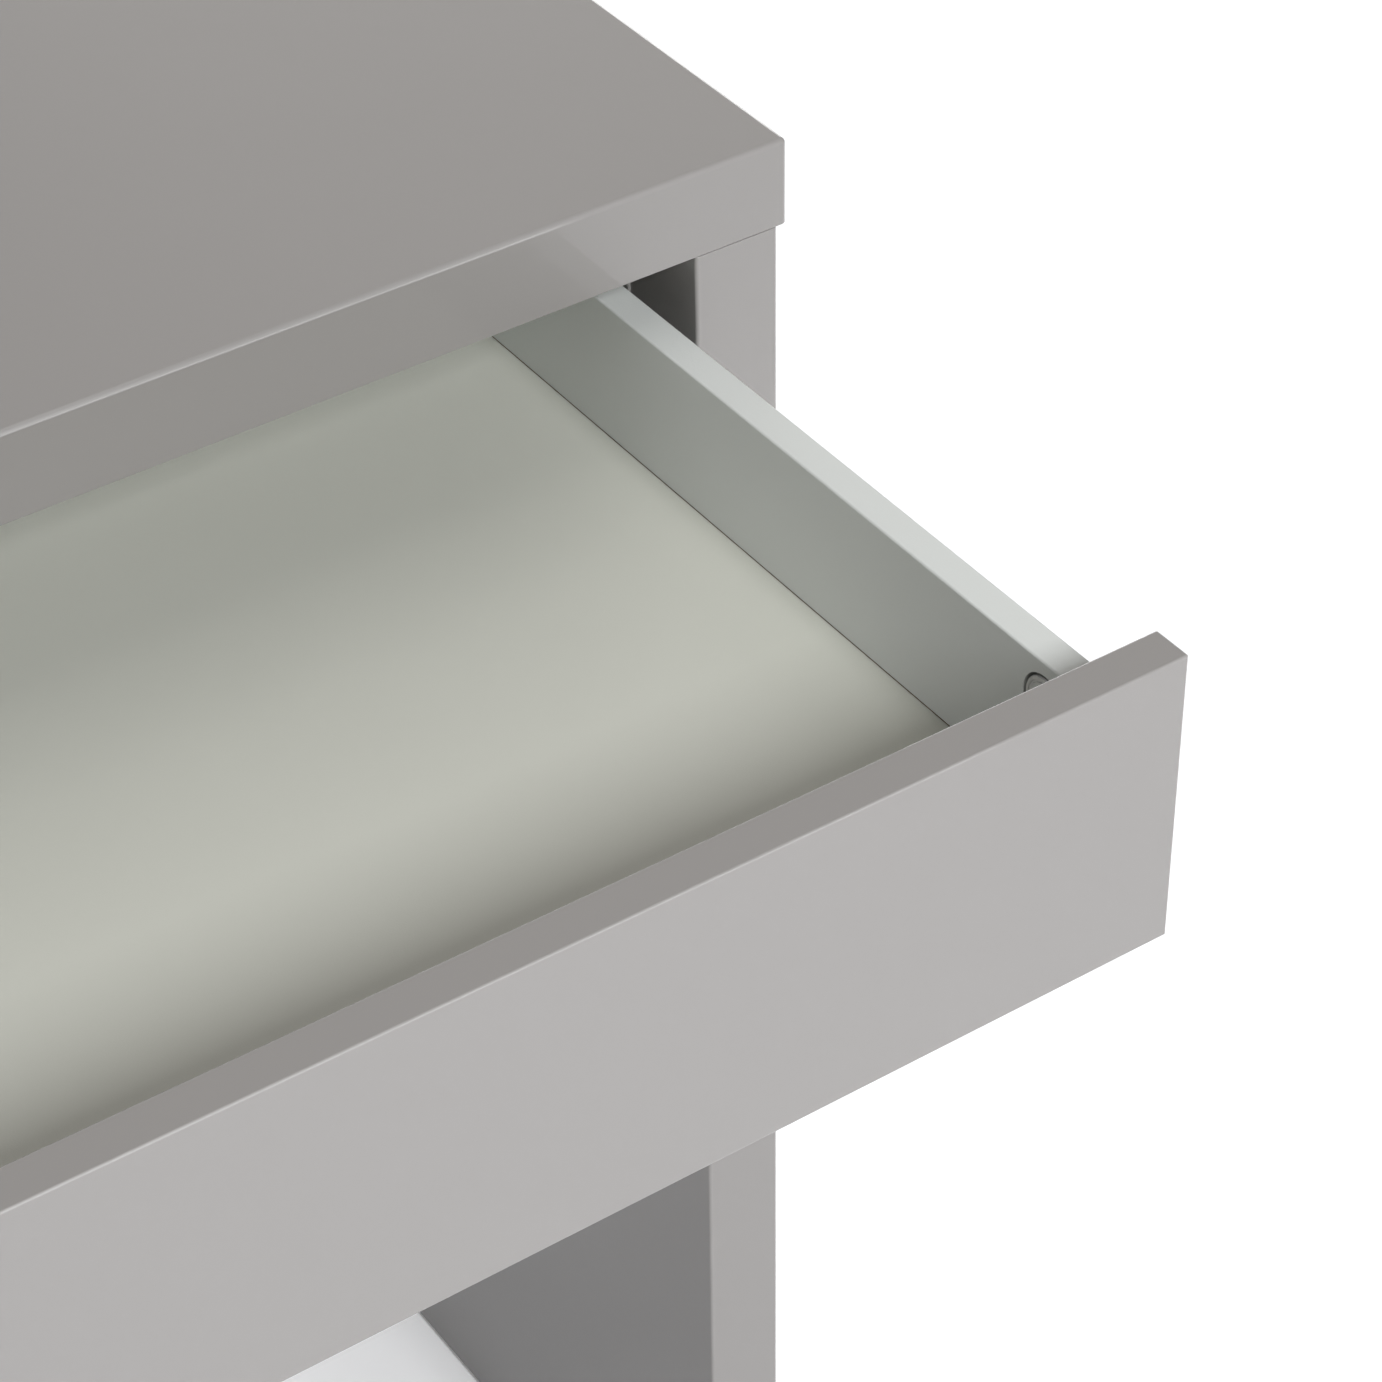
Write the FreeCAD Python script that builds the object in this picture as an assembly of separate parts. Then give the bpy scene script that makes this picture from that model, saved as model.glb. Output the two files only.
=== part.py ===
"""Side table with one drawer: thick lacquered boards, a drawer on roller runners, shown pulled out.

+X is to the right, +Y to the back, +Z up, all in millimetres. The origin is on the floor, under the middle
of the whole table with its drawer pulled out. Pieces that come in a left and a right are built on the right
and mirrored.
"""
import FreeCAD, Part
import os

Vector = FreeCAD.Vector
X, Y, Z = Vector(1, 0, 0), Vector(0, 1, 0), Vector(0, 0, 1)

# ---- Driving dimensions --------------------------------------------------------------------------
table_width = 900.0
table_depth = 420.0
table_height = 805.0

top_thickness = 34.0
panel_thickness = 34.0
top_side_overhang = 4.0
top_edge_radius = 2.0
panel_edge_radius = 1.5

rail_thickness = 16.0
rail_height = 120.0
rail_back_setback = 8.0

glide_radius = 12.0
glide_height = 3.0
glide_edge_radius = 0.8
glide_inset = 40.0

front_thickness = 15.0
front_height = 113.0
front_top_gap = 2.0
front_end_gap = 2.0
front_recess = 1.0
front_edge_radius = 1.0

drawer_side_thickness = 12.0
drawer_side_height = 70.0
drawer_side_drop = 18.5
drawer_back_thickness = 12.0
drawer_back_inset = 6.0
drawer_back_drop = 3.0
drawer_rear_clearance = 10.0
drawer_edge_radius = 0.8
runner_gap = 12.5
runner_overlap = 87.0
runner_end_gap = 20.0

bottom_thickness = 3.0
bottom_groove_height = 11.5
front_groove_depth = 6.0
groove_clearance = 0.5
groove_end_clearance = 0.5

sheet_thickness = 1.2
bend_radius = 1.1
roller_diameter = 20.0
roller_width = 7.6
roller_edge_radius = 0.8
roller_hub_radius = 5.5
roller_hub_recess = 1.0
roller_end_inset = 14.0
pin_radius = 2.5
pin_head_radius = 4.0
pin_head_thickness = 1.0
channel_flange = 9.5
running_flange_gap = 1.0
under_flange = 10.8
channel_below_side = 2.0
stop_height = 3.0
stop_length = 2.0

cam_radius = 7.5
cam_distance = 34.0
cam_floor = 3.5
cap_radius = 8.5
cap_thickness = 1.2
drawer_cam_radius = 9.8
drawer_cam_distance = 24.0
drawer_cam_floor = 2.5
drawer_cam_drop = 15.0
bolt_thread_radius = 3.5
bolt_thread_floor = 4.0
bolt_shank_radius = 2.2
bolt_head_radius = 3.0
bolt_head_length = 3.0
cam_end_inset = 50.0
rail_cam_inset = 25.0

dowel_radius = 4.0
dowel_length = 30.0
drawer_dowel_radius = 3.0
drawer_dowel_length = 25.0
drawer_dowel_seat = 8.0
dowel_chamfer = 0.8
dowels_per_panel = 3
rail_top_dowels = 3

# ---- Clearances ----------------------------------------------------------------------------------
bore_clearance = 0.1
cam_clearance = 0.2
hole_end_clearance = 1.0
running_clearance = 0.05
roller_side_gap = 0.3
roller_track_gap = 0.15
front_roller_lift = 0.6
flange_clearance = 0.8
runner_front_gap = 2.0

# ---- Screws: shank radius, head radius, head depth, length --------------------------------------
runner_screw = (1.7, 3.4, 1.6, 16.0)
drawer_runner_screw = (1.6, 3.0, 1.4, 9.5)
back_screw = (1.9, 3.8, 1.8, 35.0)
bottom_screw = (1.4, 2.8, 1.4, 14.0)
nail = (1.0, 3.0, 0.9, 18.0)
screw_tip = 3.0

# ---- Places worked out from the sizes ------------------------------------------------------------
drawer_side_length = (table_depth - front_recess - front_thickness - drawer_rear_clearance
                      - rail_thickness - rail_back_setback)
runner_length = drawer_side_length - runner_end_gap
drawer_travel = runner_length - runner_overlap
front_plane = (drawer_travel - front_recess - table_depth) / 2
back_plane = front_plane + table_depth
top_underside = table_height - top_thickness
panel_outer = table_width / 2 - top_side_overhang
panel_inner = panel_outer - panel_thickness
rail_back = back_plane - rail_back_setback
rail_front = rail_back - rail_thickness

drawer_face = front_plane + front_recess - drawer_travel
drawer_start = drawer_face + front_thickness
drawer_end = drawer_start + drawer_side_length
front_half = panel_inner - front_end_gap
front_top = top_underside - front_top_gap
front_bottom = front_top - front_height
side_outer = panel_inner - runner_gap
side_inner = side_outer - drawer_side_thickness
side_top = front_top - drawer_side_drop
side_bottom = side_top - drawer_side_height
bottom_underside = side_bottom + bottom_groove_height
bottom_surface = bottom_underside + bottom_thickness
side_groove_depth = drawer_side_thickness / 2
drawer_back_end = drawer_end - drawer_back_inset
drawer_back_start = drawer_back_end - drawer_back_thickness
drawer_back_top = side_top - drawer_back_drop

roller_radius = roller_diameter / 2
track = side_bottom - channel_below_side
rear_roller_height = track + roller_track_gap + roller_radius
front_roller_height = rear_roller_height + front_roller_lift
running_flange_underside = front_roller_height + roller_radius + roller_track_gap
running_flange_top = running_flange_underside + sheet_thickness
channel_top = running_flange_top + flange_clearance + sheet_thickness
channel_start = front_plane + front_recess + front_thickness + runner_front_gap
channel_end = channel_start + runner_length
drawer_runner_start = drawer_start + runner_front_gap
drawer_runner_end = drawer_start + runner_length
front_roller_place = channel_start + roller_end_inset
rear_roller_place = drawer_runner_end - roller_end_inset
pin_length = sheet_thickness + 2 * roller_side_gap + roller_width

cam_depth = rail_thickness - cam_floor
cam_axis_depth = rail_thickness / 2
drawer_cam_depth = drawer_side_thickness - drawer_cam_floor
drawer_cam_axis_depth = drawer_side_thickness / 2
carcass_thread = rail_thickness - bolt_thread_floor
drawer_thread = front_thickness - bolt_thread_floor


# ---- Shapes that many pieces share ---------------------------------------------------------------
def board(x0, x1, y0, y1, z0, z1, edge_radius=0.0):
    """A board between these planes, with all its edges eased."""
    shape = Part.makeBox(x1 - x0, y1 - y0, z1 - z0, Vector(x0, y0, z0))
    if edge_radius:
        shape = shape.makeFillet(edge_radius, shape.Edges)
    return shape


def rod(start, direction, radius, length):
    return Part.makeCylinder(radius, length, start, direction)


def placed(shape, point, direction):
    """A copy of a shape that was built along +Z from the origin, turned along direction at point."""
    copy = shape.copy()
    copy.Placement = FreeCAD.Placement(point, FreeCAD.Rotation(Z, direction))
    return copy


def mirrored(shape):
    return shape.mirror(Vector(0, 0, 0), X)


def both(shapes):
    return shapes + [mirrored(shape) for shape in shapes]


def spread(first, last, count):
    """Evenly spaced values from first to last."""
    return [first + (last - first) * step / (count - 1) for step in range(count)]


def extruded(outline, start, end):
    """A flat outline of (x, z) points, drawn out along Y from start to end."""
    points = [Vector(x, start, z) for x, z in outline + outline[:1]]
    return Part.Face(Part.makePolygon(points)).extrude(Y * (end - start))


def round_edges(shape):
    """The full circles among the edges of a turned shape."""
    return [edge for edge in shape.Edges if len(edge.Vertexes) == 1]


def long_edges(shape, corners):
    """The edges along Y that stand at these (x, z) corners."""
    found = []
    for edge in shape.Edges:
        first, last = edge.Vertexes[0].Point, edge.Vertexes[-1].Point
        along = abs(first.x - last.x) < 1e-6 and abs(first.z - last.z) < 1e-6
        if along and any(abs(first.x - x) < 1e-6 and abs(first.z - z) < 1e-6 for x, z in corners):
            found.append(edge)
    return found


# ---- Fasteners, each with the hole that takes it -------------------------------------------------
def cross_recess(width, depth):
    """The cross-shaped socket in a screw head or cam, sunk along +Z from the origin."""
    slot = width / 4
    one = Part.makeBox(width, slot, depth, Vector(-width / 2, -slot / 2, 0))
    two = Part.makeBox(slot, width, depth, Vector(-slot / 2, -width / 2, 0))
    return one.fuse(two)


def screw(size):
    """A countersunk screw that goes in along +Z, with its head's face at the origin."""
    shank_radius, head_radius, head_depth, length = size
    head = Part.makeCone(head_radius, shank_radius, head_depth)
    shank = rod(Z * head_depth, Z, shank_radius, length - head_depth - screw_tip)
    tip = Part.makeCone(shank_radius, shank_radius / 5, screw_tip, Z * (length - screw_tip))
    return head.fuse([shank, tip]).removeSplitter().cut(cross_recess(head_radius, head_depth * 0.7))


def screw_hole(size):
    shank_radius, head_radius, head_depth, length = size
    head = Part.makeCone(head_radius + bore_clearance, shank_radius + bore_clearance, head_depth)
    return head.fuse(rod(Vector(), Z, shank_radius + bore_clearance, length + hole_end_clearance))


def plain_nail(size):
    shank_radius, head_radius, head_depth, length = size
    head = Part.makeCone(head_radius, shank_radius, head_depth)
    shank = rod(Z * head_depth, Z, shank_radius, length - head_depth - screw_tip)
    tip = Part.makeCone(shank_radius, shank_radius / 5, screw_tip, Z * (length - screw_tip))
    return head.fuse([shank, tip]).removeSplitter()


def dowel(radius, length):
    """A wooden dowel whose middle is at the origin."""
    shape = rod(Z * (-length / 2), Z, radius, length)
    return shape.makeChamfer(dowel_chamfer, round_edges(shape))


def dowel_hole(radius, length):
    full = length + 2 * hole_end_clearance
    return rod(Z * (-full / 2), Z, radius + bore_clearance, full)


def cam(radius, depth, axis_depth, bolt_way):
    """A cam with its face up: the bolt comes in along bolt_way, below the face by axis_depth."""
    shape = rod(Z * -depth, Z, radius, depth)
    bolt_start = Z * -axis_depth - bolt_way * (bolt_head_length / 2 + bore_clearance)
    way_in = rod(bolt_start, bolt_way, bolt_head_radius + bore_clearance, radius + bolt_head_length)
    socket = cross_recess(radius * 1.1, axis_depth / 3)
    socket.translate(Z * (-axis_depth / 3))
    return shape.cut(way_in).cut(socket)


def cam_bolt(distance, thread_length):
    """A bolt that screws in along +Z from the origin, with its head back at the cam."""
    thread = rod(Vector(), Z, bolt_thread_radius, thread_length)
    shank = rod(Z * -distance, Z, bolt_shank_radius, distance)
    head = rod(Z * (-distance - bolt_head_length / 2), Z, bolt_head_radius, bolt_head_length)
    return thread.fuse([shank, head]).removeSplitter()


class CamJoint:
    """Two boards pulled together by a cam in one of them and a bolt screwed into the other.

    seam is the point where the bolt's axis crosses from board to board, along points into the board that
    takes the thread, and face points from the axis out of the face that the cam is let into.
    """

    def __init__(self, seam, along, face, drawer=False):
        self.seam, self.along, self.face = seam, along, face
        self.radius = drawer_cam_radius if drawer else cam_radius
        self.distance = drawer_cam_distance if drawer else cam_distance
        self.depth = drawer_cam_depth if drawer else cam_depth
        self.axis_depth = drawer_cam_axis_depth if drawer else cam_axis_depth
        self.thread = drawer_thread if drawer else carcass_thread
        self.middle = seam - along * self.distance
        self.surface = self.middle + face * self.axis_depth

    def hole(self):
        head_room = bolt_head_length / 2 + bore_clearance
        pocket = rod(self.surface, self.face * -1, self.radius + cam_clearance, self.depth)
        bolt_way = rod(self.middle - self.along * head_room, self.along,
                       bolt_thread_radius + bore_clearance, self.distance + head_room)
        thread = rod(self.seam, self.along, bolt_thread_radius, self.thread + hole_end_clearance)
        return pocket.fuse([bolt_way, thread])

    def cam(self):
        turn = FreeCAD.Rotation(Z, self.face)
        local_way = turn.inverted().multVec(self.along)
        return placed(cam(self.radius, self.depth, self.axis_depth, local_way), self.surface, self.face)

    def bolt(self):
        return placed(cam_bolt(self.distance, self.thread), self.seam, self.along)

    def cap(self):
        shape = rod(Vector(), Z, cap_radius, cap_thickness)
        rim = [edge for edge in round_edges(shape) if edge.CenterOfMass.z > cap_thickness / 2]
        return placed(shape.makeFillet(cap_thickness / 2, rim), self.surface, self.face)


# ---- Where the fasteners of the right-hand side sit ----------------------------------------------
def top_cam_joints():
    """The side panel's cams open to the inside, and their bolts stand up into the top."""
    places = (front_plane + cam_end_inset, back_plane - cam_end_inset)
    seam_x = panel_inner + cam_axis_depth
    return [CamJoint(Vector(seam_x, y, top_underside), Z, X * -1) for y in places]


def rail_cam_joints():
    """The rail's cams open to the back, and their bolts lie along it into the side panel."""
    heights = (top_underside - rail_cam_inset, top_underside - rail_height + rail_cam_inset)
    seam_y = rail_back - cam_axis_depth
    return [CamJoint(Vector(panel_inner, seam_y, z), X, Y) for z in heights]


def drawer_cam_joint():
    """The drawer side's cam opens into the drawer, and its bolt points forward into the front."""
    seam = Vector(side_inner + drawer_cam_axis_depth, drawer_start, side_top - drawer_cam_drop)
    return CamJoint(seam, Y * -1, X * -1, drawer=True)


def panel_dowels(make):
    """Upright dowels between the side panel and the top."""
    inset = cam_end_inset + cam_distance
    places = spread(front_plane + inset, back_plane - inset, dowels_per_panel)
    middle = panel_inner + panel_thickness / 2
    return [placed(make(dowel_radius, dowel_length), Vector(middle, y, top_underside), Z) for y in places]


def rail_end_dowel(make):
    point = Vector(panel_inner, rail_front + rail_thickness / 2, top_underside - rail_height / 2)
    return [placed(make(dowel_radius, dowel_length), point, X)]


def rail_top_dowel_row(make):
    """Upright dowels between the rail and the top, over the whole width."""
    places = spread(-panel_inner / 2, panel_inner / 2, rail_top_dowels)
    middle = rail_front + rail_thickness / 2
    return [placed(make(dowel_radius, dowel_length), Vector(x, middle, top_underside), Z) for x in places]


def drawer_front_dowel(make):
    """A dowel from the drawer side into the front, just above the bottom's groove."""
    shift = drawer_dowel_length / 2 - drawer_dowel_seat
    height = bottom_surface + 2 * drawer_dowel_radius + front_groove_depth
    point = Vector(side_inner + drawer_side_thickness / 2, drawer_start + shift, height)
    return [placed(make(drawer_dowel_radius, drawer_dowel_length), point, Y)]


def drawer_back_dowel(make):
    """A dowel from the drawer back into the side, between its two screws."""
    shift = drawer_dowel_length / 2 - drawer_dowel_seat
    middle = drawer_back_start + drawer_back_thickness / 2
    point = Vector(side_inner - shift, middle, (bottom_surface + drawer_back_top) / 2)
    return [placed(make(drawer_dowel_radius, drawer_dowel_length), point, X)]


def back_screws(make):
    """Screws from outside the drawer side into the end of the drawer back."""
    height = drawer_back_top - bottom_surface
    middle = drawer_back_start + drawer_back_thickness / 2
    places = (bottom_surface + height / 5 + sheet_thickness, drawer_back_top - height / 5)
    return [placed(make(back_screw), Vector(side_outer, middle, z), X * -1) for z in places]


def bottom_screws(make):
    """Screws up through the drawer bottom into the lower edge of the drawer back, over the whole width."""
    middle = drawer_back_start + drawer_back_thickness / 2
    places = spread(-side_inner * 2 / 3, side_inner * 2 / 3, 3)
    return [placed(make(bottom_screw), Vector(x, middle, bottom_underside), Z) for x in places]


def channel_screws(make):
    """Screws from inside the cabinet runner into the side panel."""
    middle = (track + running_flange_underside) / 2
    reach = 3 * roller_end_inset
    places = spread(channel_start + reach, channel_end - reach, 3)
    return [placed(make(runner_screw), Vector(panel_inner - sheet_thickness, y, middle), X) for y in places]


def drawer_runner_screws(make):
    """Screws through the drawer runner into the drawer side, below the bottom's groove."""
    middle = (side_bottom + bottom_underside) / 2
    reach = 3 * roller_end_inset
    places = spread(drawer_runner_start + reach, drawer_runner_end - reach, 3)
    start = side_outer + sheet_thickness
    return [placed(make(drawer_runner_screw), Vector(start, y, middle), X * -1) for y in places]


def glide_points():
    middle = panel_inner + panel_thickness / 2
    return [Vector(middle, y, 0) for y in (front_plane + glide_inset, back_plane - glide_inset)]


def glide_nails():
    return [placed(plain_nail(nail), point + Z * (glide_height / 3), Z) for point in glide_points()]


def glide_nail_holes():
    return [placed(screw_hole(nail), point + Z * (glide_height / 3), Z) for point in glide_points()]


# ---- Carcass -------------------------------------------------------------------------------------
def top_panel():
    shape = board(-table_width / 2, table_width / 2, front_plane, back_plane,
                  top_underside, table_height, top_edge_radius)
    holes = both([joint.hole() for joint in top_cam_joints()] + panel_dowels(dowel_hole))
    return shape.cut(holes + rail_top_dowel_row(dowel_hole))


def side_panel():
    shape = board(panel_inner, panel_outer, front_plane, back_plane,
                  glide_height, top_underside, panel_edge_radius)
    holes = [joint.hole() for joint in top_cam_joints() + rail_cam_joints()]
    holes += panel_dowels(dowel_hole) + rail_end_dowel(dowel_hole)
    holes += channel_screws(screw_hole) + glide_nail_holes()
    return shape.cut(holes)


def rear_rail():
    shape = board(-panel_inner, panel_inner, rail_front, rail_back,
                  top_underside - rail_height, top_underside)
    holes = both([joint.hole() for joint in rail_cam_joints()] + rail_end_dowel(dowel_hole))
    return shape.cut(holes + rail_top_dowel_row(dowel_hole))


def floor_glide(point):
    """A plastic disc under the side panel, with its nail's head sunk into it."""
    shape = rod(point, Z, glide_radius, glide_height)
    rim = [edge for edge in round_edges(shape) if edge.CenterOfMass.z < glide_height / 2]
    well = rod(point, Z, nail[1] + bore_clearance, glide_height / 3)
    nail_hole = placed(screw_hole(nail), point + Z * (glide_height / 3), Z)
    return shape.makeFillet(glide_edge_radius, rim).cut([well, nail_hole])


def cabinet_runner():
    """A C-shaped steel channel on the side panel, open towards the drawer."""
    face, back = panel_inner - channel_flange, panel_inner
    outline = [(face, track - sheet_thickness), (back, track - sheet_thickness), (back, channel_top),
               (face, channel_top), (face, channel_top - sheet_thickness),
               (back - sheet_thickness, channel_top - sheet_thickness),
               (back - sheet_thickness, track), (face, track)]
    shape = extruded(outline, channel_start, channel_end)
    shape = shape.makeFillet(bend_radius, long_edges(shape, [outline[1], outline[2]]))
    roller_at_stop = rear_roller_place - roller_radius
    stop = Part.makeBox(channel_flange - sheet_thickness, stop_length, stop_height,
                        Vector(face, roller_at_stop - stop_length, track))
    pin_hole = rod(Vector(panel_inner - sheet_thickness, front_roller_place, front_roller_height), X,
                   pin_radius + bore_clearance, sheet_thickness)
    return shape.fuse(stop).removeSplitter().cut(channel_screws(screw_hole) + [pin_hole])


def drawer_runner():
    """A steel strip under and beside the drawer side, whose top flange runs on the cabinet's roller."""
    web = side_outer + sheet_thickness
    reach = panel_inner - sheet_thickness - running_flange_gap
    under = side_outer - under_flange
    outline = [(under, side_bottom - sheet_thickness), (web, side_bottom - sheet_thickness),
               (web, running_flange_underside), (reach, running_flange_underside),
               (reach, running_flange_top), (side_outer, running_flange_top),
               (side_outer, side_bottom), (under, side_bottom)]
    shape = extruded(outline, drawer_runner_start, drawer_runner_end)
    shape = shape.makeFillet(bend_radius, long_edges(shape, [outline[1], outline[5]]))
    pin_hole = rod(Vector(side_outer, rear_roller_place, rear_roller_height), X,
                   pin_radius + bore_clearance, sheet_thickness)
    return shape.cut(drawer_runner_screws(screw_hole) + [pin_hole])


def roller_pin(start, direction):
    """A pin riveted through the sheet of a runner, with a flat head that keeps the roller on."""
    head = rod(start + direction * pin_length, direction, pin_head_radius, pin_head_thickness)
    return rod(start, direction, pin_radius, pin_length).fuse(head).removeSplitter()


def cabinet_roller_pin():
    return roller_pin(Vector(panel_inner, front_roller_place, front_roller_height), X * -1)


def drawer_roller_pin():
    return roller_pin(Vector(side_outer, rear_roller_place, rear_roller_height), X)


def hub_ring(start):
    """The shallow ring that is sunk round a roller's hub."""
    outer = rod(start, X, roller_radius - 2 * roller_edge_radius, roller_hub_recess)
    return outer.cut(rod(start, X, roller_hub_radius, roller_hub_recess))


def roller(start):
    """A nylon roller whose inner end is at start, its hub sunk a little on both sides."""
    shape = rod(start, X, roller_radius, roller_width)
    shape = shape.makeFillet(roller_edge_radius, round_edges(shape))
    ends = (start, start + X * (roller_width - roller_hub_recess))
    bore = rod(start, X, pin_radius + running_clearance, roller_width)
    return shape.cut([hub_ring(end) for end in ends] + [bore])


def cabinet_roller():
    start = panel_inner - sheet_thickness - roller_side_gap - roller_width
    return roller(Vector(start, front_roller_place, front_roller_height))


def drawer_roller():
    start = side_outer + sheet_thickness + roller_side_gap
    return roller(Vector(start, rear_roller_place, rear_roller_height))


# ---- Drawer --------------------------------------------------------------------------------------
def drawer_front():
    shape = board(-front_half, front_half, drawer_face, drawer_start,
                  front_bottom, front_top, front_edge_radius)
    half = side_inner + side_groove_depth
    groove = board(-half, half, drawer_start - front_groove_depth, drawer_start,
                   bottom_underside, bottom_surface + groove_clearance)
    holes = both([drawer_cam_joint().hole()] + drawer_front_dowel(dowel_hole))
    return shape.cut(holes + [groove])


def drawer_side():
    shape = Part.makeBox(drawer_side_thickness, drawer_side_length, drawer_side_height,
                         Vector(side_inner, drawer_start, side_bottom))
    upper = [(side_inner, side_top), (side_outer, side_top)]
    shape = shape.makeFillet(drawer_edge_radius, long_edges(shape, upper))
    groove = board(side_inner, side_inner + side_groove_depth, drawer_start, drawer_end,
                   bottom_underside, bottom_surface + groove_clearance)
    holes = [groove, drawer_cam_joint().hole()]
    holes += drawer_front_dowel(dowel_hole) + drawer_back_dowel(dowel_hole)
    holes += back_screws(screw_hole) + drawer_runner_screws(screw_hole)
    return shape.cut(holes)


def drawer_back():
    shape = board(-side_inner, side_inner, drawer_back_start, drawer_back_end,
                  bottom_surface, drawer_back_top)
    holes = both(drawer_back_dowel(dowel_hole) + back_screws(screw_hole))
    return shape.cut(holes + bottom_screws(screw_hole))


def drawer_bottom():
    half = side_inner + side_groove_depth - groove_end_clearance
    start = drawer_start - front_groove_depth + groove_end_clearance
    shape = board(-half, half, start, drawer_back_end, bottom_underside, bottom_surface)
    return shape.cut(bottom_screws(screw_hole))


# ---- Every piece by name -------------------------------------------------------------------------
def in_pairs(name, shape):
    return {name + "_left": mirrored(shape), name + "_right": shape}


def group(shapes):
    return Part.makeCompound(shapes)


carcass_joints = top_cam_joints() + rail_cam_joints()
pieces = {"top_panel": top_panel(), "rear_rail": rear_rail()}
pieces.update(in_pairs("side_panel", side_panel()))
pieces["cam_housings"] = group(both([joint.cam() for joint in carcass_joints]))
pieces["cam_bolts"] = group(both([joint.bolt() for joint in carcass_joints]))
pieces["cam_cover_caps"] = group(both([joint.cap() for joint in carcass_joints]))
end_dowels = both(panel_dowels(dowel) + rail_end_dowel(dowel))
pieces["carcass_dowels"] = group(end_dowels + rail_top_dowel_row(dowel))
pieces["floor_glides"] = group(both([floor_glide(point) for point in glide_points()]))
pieces["glide_nails"] = group(both(glide_nails()))
pieces.update(in_pairs("cabinet_runner", cabinet_runner()))
pieces["cabinet_runner_screws"] = group(both(channel_screws(screw)))
pieces["cabinet_roller_pins"] = group(both([cabinet_roller_pin()]))
pieces.update(in_pairs("cabinet_roller", cabinet_roller()))

pieces["drawer_front"] = drawer_front()
pieces.update(in_pairs("drawer_side", drawer_side()))
pieces["drawer_back"] = drawer_back()
pieces["drawer_bottom"] = drawer_bottom()
pieces["drawer_cams"] = group(both([drawer_cam_joint().cam()]))
pieces["drawer_cam_bolts"] = group(both([drawer_cam_joint().bolt()]))
pieces["drawer_dowels"] = group(both(drawer_front_dowel(dowel) + drawer_back_dowel(dowel)))
pieces["drawer_back_screws"] = group(both(back_screws(screw)))
pieces["drawer_bottom_screws"] = group(bottom_screws(screw))
pieces.update(in_pairs("drawer_runner", drawer_runner()))
pieces["drawer_runner_screws"] = group(both(drawer_runner_screws(screw)))
pieces["drawer_roller_pins"] = group(both([drawer_roller_pin()]))
pieces.update(in_pairs("drawer_roller", drawer_roller()))

os.makedirs("parts", exist_ok=True)
for name, shape in pieces.items():
    shape.exportStep("parts/" + name + ".step")
    print(name, len(shape.Solids), "solids", "valid" if shape.isValid() else "NOT VALID")
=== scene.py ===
"""Side table with one wide drawer, in gloss lacquer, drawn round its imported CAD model.

Metres, +X to the right, +Y to the back, +Z up. Pieces are made where the CAD model has them, with the drawer
pulled out.
"""
import bmesh
import bpy
import math
from mathutils import Matrix, Quaternion, Vector


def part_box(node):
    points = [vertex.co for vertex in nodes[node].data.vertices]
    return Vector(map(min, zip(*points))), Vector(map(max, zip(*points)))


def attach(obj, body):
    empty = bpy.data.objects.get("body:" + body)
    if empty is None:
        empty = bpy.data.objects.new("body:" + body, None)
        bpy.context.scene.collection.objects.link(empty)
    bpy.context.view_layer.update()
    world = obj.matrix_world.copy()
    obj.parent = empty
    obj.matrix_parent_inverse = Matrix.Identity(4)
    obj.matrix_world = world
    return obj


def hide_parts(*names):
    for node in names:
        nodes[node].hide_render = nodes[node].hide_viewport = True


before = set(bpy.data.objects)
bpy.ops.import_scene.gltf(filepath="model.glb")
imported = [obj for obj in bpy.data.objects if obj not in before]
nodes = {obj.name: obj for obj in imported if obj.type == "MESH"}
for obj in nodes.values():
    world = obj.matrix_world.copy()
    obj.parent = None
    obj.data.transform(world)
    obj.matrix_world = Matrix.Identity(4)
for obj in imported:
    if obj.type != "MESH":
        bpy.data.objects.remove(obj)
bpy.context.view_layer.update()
scene = bpy.context.scene


# ---- Camera --------------------------------------------------------------------------------------
# A long lens looks down from the front left on the right-hand end of the table, with the pulled-out
# drawer across the middle of the picture and the far left of the table outside it.
top_low, top_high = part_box("top_panel")
near_corner = Vector((top_high.x, top_low.y, top_high.z))
camera_data = bpy.data.cameras.new("camera")
camera_data.sensor_width = 36.0
camera_data.lens = 103.3
camera = bpy.data.objects.new("camera", camera_data)
scene.collection.objects.link(camera)
scene.camera = camera

turn = math.radians(-33.88)
tilt = math.radians(39.02)
lean = math.radians(-0.99)
corner_to_camera = Vector((-0.6785, -0.9461, 0.7021))
towards_camera = Vector((math.sin(turn) * math.cos(tilt), -math.cos(turn) * math.cos(tilt), math.sin(tilt)))
camera.location = near_corner + corner_to_camera
camera.rotation_mode = "QUATERNION"
upright = (-towards_camera).to_track_quat("-Z", "Y")
camera.rotation_quaternion = upright @ Quaternion((0.0, 0.0, 1.0), lean)


# ---- Studio --------------------------------------------------------------------------------------
# A white floor that runs out of sight, a white surround, and soft boxes. The main one stands high in
# front, and weaker ones light the fronts from low down, the drawer from the left and the top from behind.
def shader(tree, kind, inputs=None, **settings):
    """Adds a node: settings are its properties, inputs its socket values or the sockets they come from."""
    made = tree.nodes.new(kind)
    for name, value in settings.items():
        setattr(made, name, value)
    for name, value in (inputs or {}).items():
        if isinstance(value, bpy.types.NodeSocket):
            tree.links.new(value, made.inputs[name])
        else:
            made.inputs[name].default_value = value
    return made


def new_material(name):
    """An empty node material and its tree."""
    made = bpy.data.materials.new(name)
    made.use_nodes = True
    made.node_tree.nodes.clear()
    return made, made.node_tree


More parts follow.
